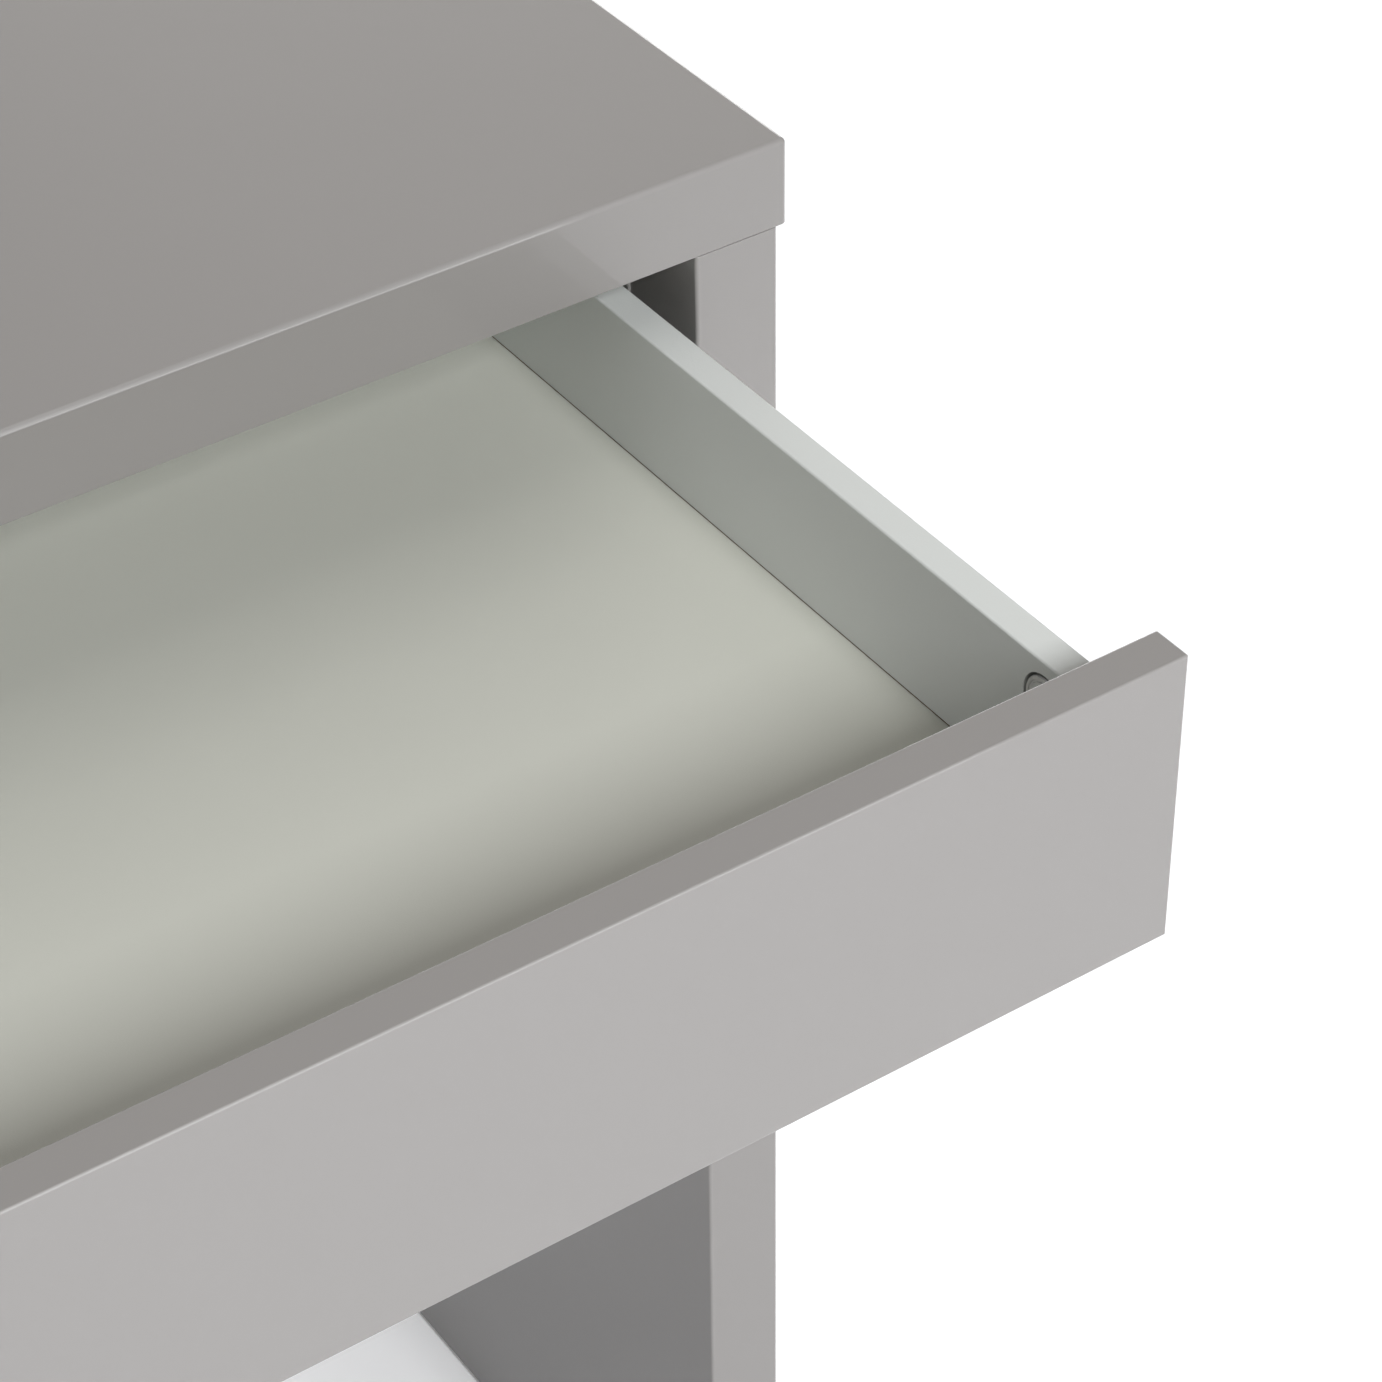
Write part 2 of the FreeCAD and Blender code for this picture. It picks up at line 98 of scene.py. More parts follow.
def finish_material(tree, **sockets):
    """Puts a Principled BSDF on the material's output, its sockets named with underscores for spaces."""
    inputs = {name.replace("_", " "): value for name, value in sockets.items()}
    surface = shader(tree, "ShaderNodeBsdfPrincipled", inputs)
    shader(tree, "ShaderNodeOutputMaterial", {"Surface": surface.outputs["BSDF"]})


def soft_box(name, place, target, size, watts, colour=(1.0, 1.0, 1.0), only=None):
    """A square area light at place that faces target. It lights everything, or only one object."""
    data = bpy.data.lights.new(name, "AREA")
    data.energy = watts
    data.shape = "SQUARE"
    data.size = size
    data.color = colour
    light = bpy.data.objects.new(name, data)
    light.location = place
    light.rotation_mode = "QUATERNION"
    light.rotation_quaternion = (Vector(target) - Vector(place)).to_track_quat("-Z", "Y")
    scene.collection.objects.link(light)
    if only:
        lit = bpy.data.collections.new(name + "_lights")
        lit.objects.link(only)
        light.light_linking.receiver_collection = lit


table_middle = Vector((0.15, -0.1, 0.6))
soft_box("front_light", (0.2, -2.82, 2.65), table_middle, 0.9, 97.0, (0.985, 1.0, 1.015))
soft_box("low_light", (1.0, -3.0, 0.7), table_middle, 1.5, 25.0)
soft_box("left_light", (-3.0, -0.2, 1.8), table_middle, 2.0, 17.0)
soft_box("top_light", (0.2, 0.1, 3.0), table_middle, 1.6, 9.0, (1.0, 0.975, 0.95))
soft_box("back_light", (1.94, 2.68, 3.3), table_middle, 4.0, 37.0, (1.0, 0.965, 0.93))
soft_box("low_back_light", (2.4, 3.2, 1.1), table_middle, 2.0, 32.0)

world = bpy.data.worlds.new("studio")
world.use_nodes = True
world.node_tree.nodes.clear()
surround_light = 0.05
surround_glow = 0.17
seen_directly = shader(world.node_tree, "ShaderNodeLightPath").outputs["Is Camera Ray"]
surround = shader(world.node_tree, "ShaderNodeMath", {0: seen_directly, 1: surround_glow, 2: surround_light},
                  operation="MULTIPLY_ADD")
backdrop = shader(world.node_tree, "ShaderNodeBackground", {"Color": (1.0, 1.0, 1.0, 1.0),
                                                            "Strength": surround.outputs["Value"]})
shader(world.node_tree, "ShaderNodeOutputWorld", {"Surface": backdrop.outputs["Background"]})
scene.world = world
scene.view_settings.view_transform = "Standard"

floor_reach = 40.0
floor_glow = 0.19
floor_mesh = bpy.data.meshes.new("studio_floor")
floor_corners = [(x, y, 0.0) for x, y in ((-1, -1), (1, -1), (1, 1), (-1, 1))]
floor_mesh.from_pydata([Vector(corner) * floor_reach for corner in floor_corners], [], [(0, 1, 2, 3)])
floor = bpy.data.objects.new("studio_floor", floor_mesh)
scene.collection.objects.link(floor)
floor_paint, floor_tree = new_material("studio_floor")
seen_directly = shader(floor_tree, "ShaderNodeLightPath").outputs["Is Camera Ray"]
glow = shader(floor_tree, "ShaderNodeMath", {0: seen_directly, 1: floor_glow}, operation="MULTIPLY")
finish_material(floor_tree, Base_Color=(0.84, 0.845, 0.86, 1.0), Roughness=0.6,
                Emission_Color=(1.0, 1.0, 1.0, 1.0), Emission_Strength=glow.outputs["Value"])
floor_mesh.materials.append(floor_paint)
soft_box("floor_light", (1.6, 1.4, 5.0), (1.6, 1.4, 0.0), 5.0, 115.0, only=floor)


# ---- Table top -----------------------------------------------------------------------------------
# A thick board with a sprayed and polished gloss lacquer on every face. The spray leaves the edges
# softly rounded and the flats with a faint ripple, and use leaves hair-fine marks in the polish.
def uneven_group():
    """A value that wanders over the surface between Low and High, in patches of about 1/Scale metres."""
    tree = bpy.data.node_groups.new("uneven", "ShaderNodeTree")
    for name, value in (("Scale", 10.0), ("Detail", 2.0), ("Low", 0.0), ("High", 1.0)):
        tree.interface.new_socket(name, in_out="INPUT", socket_type="NodeSocketFloat").default_value = value
    tree.interface.new_socket("Value", in_out="OUTPUT", socket_type="NodeSocketFloat")
    given = tree.nodes.new("NodeGroupInput")
    place = shader(tree, "ShaderNodeTexCoord")
    noise = shader(tree, "ShaderNodeTexNoise", {"Vector": place.outputs["Object"],
                                                "Scale": given.outputs["Scale"],
                                                "Detail": given.outputs["Detail"]})
    ranged = shader(tree, "ShaderNodeMapRange", {"Value": noise.outputs["Fac"],
                                                 "From Min": 0.3, "From Max": 0.7,
                                                 "To Min": given.outputs["Low"],
                                                 "To Max": given.outputs["High"]}, clamp=False)
    shader(tree, "NodeGroupOutput", {"Value": ranged.outputs["Result"]})
    return tree


def hairline_group():
    """A mask of fine scratches along one direction: Stretch is how much longer than wide they are."""
    tree = bpy.data.node_groups.new("hairlines", "ShaderNodeTree")
    for name, value in (("Scale", 40.0), ("Stretch", 30.0), ("Turn", 0.0), ("Share", 0.1)):
        tree.interface.new_socket(name, in_out="INPUT", socket_type="NodeSocketFloat").default_value = value
    tree.interface.new_socket("Mask", in_out="OUTPUT", socket_type="NodeSocketFloat")
    given = tree.nodes.new("NodeGroupInput")
    place = shader(tree, "ShaderNodeTexCoord")
    turned = shader(tree, "ShaderNodeVectorRotate", {"Vector": place.outputs["Object"],
                                                     "Axis": (0.3, 0.2, 0.93),
                                                     "Angle": given.outputs["Turn"]})
    across = shader(tree, "ShaderNodeCombineXYZ", {"X": 1.0, "Y": given.outputs["Stretch"],
                                                   "Z": given.outputs["Stretch"]})
    pulled = shader(tree, "ShaderNodeVectorMath", {0: turned.outputs["Vector"], 1: across.outputs["Vector"]},
                    operation="MULTIPLY")
    noise = shader(tree, "ShaderNodeTexNoise", {"Vector": pulled.outputs["Vector"],
                                                "Scale": given.outputs["Scale"], "Detail": 1.0})
    edge = shader(tree, "ShaderNodeMath", {0: 0.72, 1: given.outputs["Share"]}, operation="SUBTRACT")
    ranged = shader(tree, "ShaderNodeMapRange", {"Value": noise.outputs["Fac"],
                                                 "From Min": edge.outputs["Value"], "From Max": 0.78})
    shader(tree, "NodeGroupOutput", {"Mask": ranged.outputs["Result"]})
    return tree


uneven = uneven_group()
hairlines = hairline_group()


def use_group(tree, group, **inputs):
    """Places a node group in a material with its own values, and gives its first output."""
    placed = shader(tree, "ShaderNodeGroup", node_tree=group)
    for name, value in inputs.items():
        placed.inputs[name].default_value = value
    return placed.outputs[0]


def blend_colours(tree, share, first, second):
    """The colour between first and second at a share that may change over the surface."""
    mixed = shader(tree, "ShaderNodeMix", {0: share, 6: (*first, 1.0), 7: (*second, 1.0)}, data_type="RGBA")
    return mixed.outputs[2]


def bump(tree, height, distance):
    """A normal from a height between 0 and 1 that stands for a relief of distance metres."""
    made = shader(tree, "ShaderNodeBump", {"Height": height, "Distance": distance, "Strength": 1.0})
    return made.outputs["Normal"]


def add_share(tree, first, second, share):
    """The first value plus a share of the second."""
    made = shader(tree, "ShaderNodeMath", {0: second, 1: share, 2: first}, operation="MULTIPLY_ADD")
    return made.outputs["Value"]


def lacquer_material():
    """Taupe-grey gloss lacquer: a coloured coat under a clear one, with a painted highlight that makes it
    paler along the rounded edges.
    """
    # Painted highlight: the edge attribute mixes the lacquer colour towards a paler grey on the rounded
    # edges.
    painted_edge_highlight = (0.47, 0.46, 0.45, 1.0)
    edge_highlight_share = 0.28
    sag_share = 5.0
    relief = 0.000012
    made, tree = new_material("gloss_lacquer")
    cloud = use_group(tree, uneven, Scale=2.2, Detail=3.0, Low=0.0, High=1.0)
    colour = blend_colours(tree, cloud, (0.254, 0.241, 0.232), (0.261, 0.248, 0.239))
    edge = shader(tree, "ShaderNodeAttribute", attribute_name="edge")
    edge_highlight_mix = shader(tree, "ShaderNodeMath", {0: edge.outputs["Fac"], 1: edge_highlight_share}, operation="MULTIPLY")
    colour = shader(tree, "ShaderNodeMix", {0: edge_highlight_mix.outputs["Value"], 6: colour, 7: painted_edge_highlight},
                    data_type="RGBA").outputs[2]
    smears = use_group(tree, uneven, Scale=9.0, Detail=4.0, Low=0.32, High=0.37)
    marks = use_group(tree, hairlines, Scale=60.0, Stretch=40.0, Turn=0.6, Share=0.03)
    roughness = add_share(tree, smears, marks, 0.08)
    ripple = use_group(tree, uneven, Scale=120.0, Detail=1.0, Low=0.0, High=1.0)
    sag = use_group(tree, uneven, Scale=14.0, Detail=1.0, Low=0.0, High=1.0)
    height = add_share(tree, ripple, sag, sag_share)
    finish_material(tree, Base_Color=colour, Roughness=roughness, Normal=bump(tree, height, relief),
                    Coat_Weight=0.8, Coat_Roughness=0.02, IOR=1.5)
    return made


lacquer = lacquer_material()


def put(name, mesh, body, slot, *replaced):
    """Makes a mesh into a piece that rides on a body and stands for the CAD nodes it is made for."""
    piece = bpy.data.objects.new(name, mesh)
    scene.collection.objects.link(piece)
    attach(piece, body)
    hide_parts(*replaced)


def loop_of_board(half, upright, inset, steps):
    """One loop round a board, as (place, way outwards) pairs, with rounded corners. It lies inset from the
    board's faces."""
    smallest_radius = 0.00002
    radius = max(upright - inset, smallest_radius)
    core = Vector((half.x - inset - radius, half.y - inset - radius))
    corners = ((1, 1), (-1, 1), (-1, -1), (1, -1))
    loop = []
    for quarter, (side_x, side_y) in enumerate(corners):
        for step in range(steps + 1):
            angle = math.radians(90.0 * (quarter + step / steps))
            way = Vector((math.cos(angle), math.sin(angle)))
            loop.append((Vector((side_x * core.x, side_y * core.y)) + way * radius, way))
    return loop


def eased_board_mesh(name, low, high, upright, upper, lower, material, steps=6):
    """A board whose upright, upper and lower edges are rounded by their own radii. Its edge attribute is
    highest in the middle of a rounded stretch."""
    middle, half = (low + high) / 2, (high - low) / 2
    turns = [math.radians(90.0 * step / steps) for step in range(steps + 1)]
    levels = [(lower * (1 - math.sin(a)), low.z + lower * (1 - math.cos(a)), math.sin(a), -math.cos(a))
              for a in turns]
    levels += [(upper * (1 - math.sin(a)), high.z - upper * (1 - math.cos(a)), math.sin(a), math.cos(a))
               for a in reversed(turns)]
    places, normals, edges = [], [], []
    for inset, height, outward, upward in levels:
        for place, way in loop_of_board(half, upright, inset, steps):
            places.append((middle.x + place.x, middle.y + place.y, height))
            normals.append((way.x * outward, way.y * outward, upward))
            edges.append(max(abs(outward * upward), abs(way.x * way.y) * outward) * 2)
    around = 4 * (steps + 1)
    faces = [tuple(reversed(range(around)))]
    for level in range(len(levels) - 1):
        for step in range(around):
            after = (step + 1) % around
            faces.append((level * around + step, level * around + after,
                          (level + 1) * around + after, (level + 1) * around + step))
    faces.append(tuple(range((len(levels) - 1) * around, len(levels) * around)))
    mesh = bpy.data.meshes.new(name)
    mesh.from_pydata(places, [], faces)
    # The edge attribute is the mask for the lacquer's painted edge highlight.
    edge = mesh.attributes.new("edge", "FLOAT", "POINT")
    edge.data.foreach_set("value", edges)
    mesh.shade_smooth()
    mesh.normals_split_custom_set_from_vertices(normals)
    mesh.materials.append(material)
    return mesh


def lacquered_board(node, body, upright, upper, lower):
    """A lacquered board in the place of the CAD node of the same name."""
    low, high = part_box(node)
    mesh = eased_board_mesh(node + "_board", low, high, upright, upper, lower, lacquer)
    put(node + "_board", mesh, body, "lacquer", node)


lacquered_board("top_panel", "carcass", upright=0.002, upper=0.002, lower=0.0007)


# ---- Side panels and rear rail -------------------------------------------------------------------
# The panels are boards of the top's thickness that carry it, and the thinner rail ties them together
# behind the drawer. All are lacquered like the top, and butt against it with a hairline joint.
for name in ("side_panel_left", "side_panel_right"):
    lacquered_board(name, "carcass", upright=0.0015, upper=0.0003, lower=0.0005)
lacquered_board("rear_rail", "carcass", upright=0.0006, upper=0.0003, lower=0.0006)


# ---- Cover caps ----------------------------------------------------------------------------------
# Thin moulded discs in the board's colour, each with a rim that lies on the board. They are pressed in to
# close the cam holes inside the panels and behind the rear rail once the cams are turned.
def moulded_plastic(name, colour, worn, fine=900.0):
    """Plain moulded plastic with the fine grain of its mould, a little paler where it is rubbed."""
    made, tree = new_material(name)
    rubbed = use_group(tree, uneven, Scale=25.0, Detail=3.0, Low=0.0, High=1.0)
    grain = use_group(tree, uneven, Scale=fine, Detail=2.0, Low=0.0, High=1.0)
    roughness = use_group(tree, uneven, Scale=60.0, Detail=2.0, Low=0.35, High=0.5)
    finish_material(tree, Base_Color=blend_colours(tree, rubbed, colour, worn), Roughness=roughness,
                    Normal=bump(tree, grain, 0.00003))
    return made


def dress(node, material):
    """Gives a CAD node a finished material in place of its plain one."""
    for holder in nodes[node].material_slots:
        holder.material = material


dress("cam_cover_caps", moulded_plastic("cap_plastic", (0.25, 0.24, 0.23), (0.29, 0.28, 0.27)))


# ---- Floor glides --------------------------------------------------------------------------------
# Four moulded discs of black plastic, each nailed under an end of a panel. They carry the table and keep
# the lacquered edges off the floor.
dress("floor_glides", moulded_plastic("glide_plastic", (0.018, 0.018, 0.019), (0.05, 0.05, 0.05)))


# ---- Fittings ------------------------------------------------------------------------------------
# Turned and headed steel parts with bright zinc plating: cam bolts screwed into the boards, the nails of
# the glides and the rollers' riveted pins. The cams that pull on the bolts are die-cast zinc, left bare.
def plated_steel_material():
    """Bright zinc plating on turned steel, with a faintly cloudy tone and fine turning marks."""
    made, tree = new_material("plated_steel")
    cloud = use_group(tree, uneven, Scale=160.0, Detail=3.0, Low=0.0, High=1.0)
    colour = blend_colours(tree, cloud, (0.50, 0.50, 0.51), (0.66, 0.66, 0.65))
    roughness = use_group(tree, uneven, Scale=420.0, Detail=2.0, Low=0.32, High=0.46)
    height = use_group(tree, uneven, Scale=1500.0, Detail=2.0, Low=0.0, High=1.0)
    finish_material(tree, Base_Color=colour, Roughness=roughness, Metallic=1.0,
                    Normal=bump(tree, height, 0.00002))
    return made


def cast_zinc_material():
    """Bare die-cast zinc: dull grey, with the fine frost of the die."""
    made, tree = new_material("cast_zinc")
    cloud = use_group(tree, uneven, Scale=220.0, Detail=4.0, Low=0.0, High=1.0)
    colour = blend_colours(tree, cloud, (0.58, 0.58, 0.59), (0.76, 0.76, 0.75))
    roughness = use_group(tree, uneven, Scale=700.0, Detail=2.0, Low=0.48, High=0.62)
    height = use_group(tree, uneven, Scale=1800.0, Detail=3.0, Low=0.0, High=1.0)
    finish_material(tree, Base_Color=colour, Roughness=roughness, Metallic=1.0,
                    Normal=bump(tree, height, 0.00004))
    return made


plated_steel = plated_steel_material()
cast_zinc = cast_zinc_material()
for name in ("cam_bolts", "glide_nails", "cabinet_roller_pins", "drawer_cam_bolts", "drawer_roller_pins"):
    dress(name, plated_steel)
dress("cam_housings", cast_zinc)


# ---- Screws --------------------------------------------------------------------------------------
# Countersunk chipboard screws with a cross recess, a cold-rolled thread and a drawn-out point. They hold
# the runners to the boards, the drawer's sides to its back and its bottom to the back's lower edge.
def solids_of(node):
    """The corners of each separate solid in a CAD node, as lists of points, in a fixed order."""
    shape = bmesh.new()
    shape.from_mesh(nodes[node].data)
    bmesh.ops.remove_doubles(shape, verts=shape.verts[:], dist=1e-6)
    shape.verts.ensure_lookup_table()
    seen, found = set(), []
    for start in shape.verts:
        if start in seen:
            continue
        seen.add(start)
        solid, waiting = [], [start]
        while waiting:
            vert = waiting.pop()
            solid.append(vert.co.copy())
            beside = [edge.other_vert(vert) for edge in vert.link_edges]
            fresh = [other for other in beside if other not in seen]
            seen.update(fresh)
            waiting.extend(fresh)
        found.append(solid)
    shape.free()
    return sorted(found, key=lambda solid: tuple(round(part, 5) for part in min(solid, key=tuple)))


def corners_of(solid):
    low = Vector([min(point[axis] for point in solid) for axis in range(3)])
    high = Vector([max(point[axis] for point in solid) for axis in range(3)])
    return low, high


def screw_place(solid):
    """Where a screw's head ends, the way it faces, its length and the radii of its head and shank."""
    low, high = corners_of(solid)
    middle, size = (low + high) / 2, high - low
    axis = max(range(3), key=lambda number: size[number])
    others = [number for number in range(3) if number != axis]
    end_zone = size[axis] * 0.02
    spread = {}
    for sign in (-1, 1):
        end = middle[axis] + sign * size[axis] / 2
        near = [point for point in solid if abs(point[axis] - end) < end_zone]
        spread[sign] = max(math.hypot(*[point[number] - middle[number] for number in others])
                           for point in near)
    head_sign = max(spread, key=spread.get)
    facing = Vector([head_sign if number == axis else 0.0 for number in range(3)])
    return middle + facing * size[axis] / 2, facing, size[axis], spread[head_sign]


def screw_tree():
    """One screw on each point that it is given, with its head along the point's facing attribute."""
    tree = bpy.data.node_groups.new("screws", "GeometryNodeTree")
    tree.interface.new_socket("Points", in_out="INPUT", socket_type="NodeSocketGeometry")
    for name, value in (("Length", 0.016), ("Head Radius", 0.0034), ("Head Depth", 0.0016),
                        ("Shank Radius", 0.0017), ("Point Length", 0.003), ("Pitch", 0.0016)):
        tree.interface.new_socket(name, in_out="INPUT", socket_type="NodeSocketFloat").default_value = value
    tree.interface.new_socket("Metal", in_out="INPUT", socket_type="NodeSocketMaterial")
    tree.interface.new_socket("Screws", in_out="OUTPUT", socket_type="NodeSocketGeometry")
    root_share = 0.78
    wing_width_share = 0.26
    wing_length_share = 1.15
    recess_share = 1.5
    tip_radius = 0.0001

    def add(kind, inputs=None, **settings):
        return shader(tree, kind, inputs, **settings)

    given = add("NodeGroupInput").outputs

    def reckon(operation, first, second):
        return add("ShaderNodeMath", {0: first, 1: second}, operation=operation).outputs["Value"]

    def lifted(geometry, height):
        shift = add("ShaderNodeCombineXYZ", {"Z": height}).outputs["Vector"]
        return add("GeometryNodeTransform", {"Geometry": geometry, "Translation": shift}).outputs["Geometry"]

    root_radius = reckon("MULTIPLY", given["Shank Radius"], root_share)
    below_head = reckon("MULTIPLY", given["Head Depth"], -1.0)
    body = reckon("SUBTRACT", reckon("SUBTRACT", given["Length"], given["Head Depth"]), given["Point Length"])
    point_start = reckon("SUBTRACT", below_head, body)

    head = add("GeometryNodeMeshCone", {"Vertices": 32, "Radius Top": given["Head Radius"],
                                        "Radius Bottom": root_radius, "Depth": given["Head Depth"]})
    head = lifted(head.outputs["Mesh"], below_head)
    wing_width = reckon("MULTIPLY", given["Head Radius"], wing_width_share)
    wing_length = reckon("MULTIPLY", given["Head Radius"], wing_length_share)
    recess_depth = reckon("MULTIPLY", given["Head Depth"], recess_share)
    wings = []
    for across, along in ((wing_width, wing_length), (wing_length, wing_width)):
        size = add("ShaderNodeCombineXYZ", {"X": across, "Y": along, "Z": recess_depth}).outputs["Vector"]
        wings.append(add("GeometryNodeMeshCube", {"Size": size}).outputs["Mesh"])
    cross = add("GeometryNodeMeshBoolean", operation="UNION", solver="EXACT")
    for wing in wings:
        tree.links.new(wing, cross.inputs["Mesh 2"])
    cut_head = add("GeometryNodeMeshBoolean", {"Mesh 1": head, "Mesh 2": cross.outputs["Mesh"]},
                   operation="DIFFERENCE", solver="EXACT").outputs["Mesh"]

    stem = add("GeometryNodeMeshCylinder", {"Vertices": 24, "Radius": root_radius, "Depth": body})
    stem_middle = reckon("SUBTRACT", below_head, reckon("MULTIPLY", body, 0.5))
    stem = lifted(stem.outputs["Mesh"], stem_middle)
    tip = add("GeometryNodeMeshCone", {"Vertices": 24, "Radius Top": root_radius, "Radius Bottom": tip_radius,
                                       "Depth": given["Point Length"]})
    tip = lifted(tip.outputs["Mesh"], reckon("SUBTRACT", point_start, given["Point Length"]))

    crest = reckon("SUBTRACT", given["Shank Radius"], root_radius)
    turns = reckon("DIVIDE", body, given["Pitch"])
    spiral = add("GeometryNodeCurveSpiral", {"Resolution": 20, "Rotations": turns, "Height": body,
                                             "Start Radius": root_radius, "End Radius": root_radius})
    ridge = add("GeometryNodeCurvePrimitiveCircle", {"Resolution": 4, "Radius": crest})
    thread = add("GeometryNodeCurveToMesh", {"Curve": spiral.outputs["Curve"],
                                             "Profile Curve": ridge.outputs["Curve"], "Fill Caps": True})
    thread = lifted(thread.outputs["Mesh"], point_start)

    whole = add("GeometryNodeJoinGeometry")
    for part in (cut_head, stem, tip, thread):
        tree.links.new(part, whole.inputs["Geometry"])
    facing = add("GeometryNodeInputNamedAttribute", {"Name": "facing"}, data_type="FLOAT_VECTOR")
    upright = add("FunctionNodeAlignRotationToVector", {"Vector": facing.outputs["Attribute"]}, axis="Z")
    driven = add("FunctionNodeRandomValue", {"Min": 0.0, "Max": math.pi, "Seed": 7}, data_type="FLOAT")
    turned = add("FunctionNodeAxisAngleToRotation", {"Angle": driven.outputs[1]})
    both = add("FunctionNodeRotateRotation", {"Rotation": upright.outputs["Rotation"],
                                              "Rotate By": turned.outputs["Rotation"]},
               rotation_space="LOCAL")
    placed = add("GeometryNodeInstanceOnPoints", {"Points": given["Points"],
                                                  "Instance": whole.outputs["Geometry"],
                                                  "Rotation": both.outputs["Rotation"]})
    real = add("GeometryNodeRealizeInstances", {"Geometry": placed.outputs["Instances"]})
    painted = add("GeometryNodeSetMaterial",
                  {"Geometry": real.outputs["Geometry"], "Material": given["Metal"]})
    add("NodeGroupOutput", {"Screws": painted.outputs["Geometry"]})
    return tree


screws = screw_tree()


def grown(name, points, tree, **inputs):
    """A plain mesh of what a geometry tree makes of some points: inputs are named with _ for spaces."""
    holder = bpy.data.objects.new(name, points)
    scene.collection.objects.link(holder)
    modifier = holder.modifiers.new(name, "NODES")
    modifier.node_group = tree
    sockets = {item.name: item.identifier for item in tree.interface.items_tree if item.in_out == "INPUT"}
    for word, value in inputs.items():
        modifier[sockets[word.replace("_", " ")]] = value
    evaluated = holder.evaluated_get(bpy.context.evaluated_depsgraph_get())
    mesh = bpy.data.meshes.new_from_object(evaluated)
    holder.modifiers.remove(modifier)
    bpy.data.objects.remove(holder)
    mesh.name = name
    return mesh


def screws_for(node, body, shank_radius, head_depth):
    """Screws in the places of a CAD node's solids, at their length and head size."""
    places = [screw_place(solid) for solid in solids_of(node)]
    points = bpy.data.meshes.new(node + "_points")
    points.from_pydata([place[0] for place in places], [], [])
    facing = points.attributes.new("facing", "FLOAT_VECTOR", "POINT")
    for number, place in enumerate(places):
        facing.data[number].vector = place[1]
    mesh = grown(node + "_drawn", points, screws, Length=places[0][2], Head_Radius=places[0][3],
                 Head_Depth=head_depth, Shank_Radius=shank_radius, Metal=plated_steel)
    mesh.set_sharp_from_angle(angle=math.radians(35))
    put(node + "_drawn", mesh, body, "plated_steel", node)


screws_for("cabinet_runner_screws", "carcass", shank_radius=0.0017, head_depth=0.0016)
screws_for("drawer_runner_screws", "drawer", shank_radius=0.0016, head_depth=0.0014)
screws_for("drawer_back_screws", "drawer", shank_radius=0.0019, head_depth=0.0018)
screws_for("drawer_bottom_screws", "drawer", shank_radius=0.0014, head_depth=0.0014)


# ---- Drawer cams ---------------------------------------------------------------------------------
# Die-cast cams that pull the drawer's front against its sides. Each sits loosely in a hole in a side,
# with a cross slot for the screwdriver, and its weight rests it on the hole's lower edge.
def lathed(profile, steps=48):
    """A closed shape turned about Z from (radius, height) points that start and end on the axis."""
    shape = bmesh.new()
    angles = [math.tau * step / steps for step in range(steps)]
    rings = []
    for radius, height in profile:
        places = [(radius * math.cos(angle), radius * math.sin(angle), height) for angle in angles]
        rings.append([shape.verts.new(place) for place in (places if radius else places[:1])])
    for under, over in zip(rings, rings[1:]):
        for step in range(steps):
            after = (step + 1) % steps
            corners = [under[step % len(under)], under[after % len(under)],
                       over[after % len(over)], over[step % len(over)]]
            shape.faces.new(list(dict.fromkeys(corners)))
    bmesh.ops.recalc_face_normals(shape, faces=shape.faces[:])
    mesh = bpy.data.meshes.new("lathed")
    shape.to_mesh(mesh)
    shape.free()
    return mesh


def block(size, middle):
    """A plain block, to cut with."""
    shape = bmesh.new()
    bmesh.ops.create_cube(shape, size=1.0)
    for vert in shape.verts:
        vert.co = Vector(middle) + Vector([place * length for place, length in zip(vert.co, size)])
    mesh = bpy.data.meshes.new("block")
    shape.to_mesh(mesh)
    shape.free()
    return mesh


def carved(mesh, *cutters):
    """The mesh with each cutter's shape cut out of it."""
    holders = [bpy.data.objects.new("carving", part) for part in (mesh, *cutters)]
    for holder in holders:
        scene.collection.objects.link(holder)
    for cutter in holders[1:]:
        cut = holders[0].modifiers.new("cut", "BOOLEAN")
        cut.operation = "DIFFERENCE"
        cut.solver = "EXACT"
        cut.object = cutter
    made = bpy.data.meshes.new_from_object(holders[0].evaluated_get(bpy.context.evaluated_depsgraph_get()))
    for holder in holders:
        bpy.data.objects.remove(holder)
    return made


def joined(name, meshes, material):
    """One mesh of several, with one material and crisp edges where the faces turn sharply."""
    shape = bmesh.new()
    for mesh in meshes:
        shape.from_mesh(mesh)
    whole = bpy.data.meshes.new(name)
    shape.to_mesh(whole)
    shape.free()
    whole.shade_smooth()
    whole.set_sharp_from_angle(angle=math.radians(30))
    whole.materials.clear()
    whole.materials.append(material)
    return whole


cam_play = 0.0009
cam_drop = 0.0005
cam_slip = 0.0006
cam_turn = math.radians(20.0)
cam_chamfer = 0.0004
cam_face = 0.0002
cam_rim = 0.0003
cam_moat = 0.0006
moat_steps = (0.0013, 0.0015, 0.0021, 0.0023)
slot_share = 1.1
slot_width = 0.0014
slot_depth = 0.0052
bolt_way = 0.0062
bolt_reach = 0.009


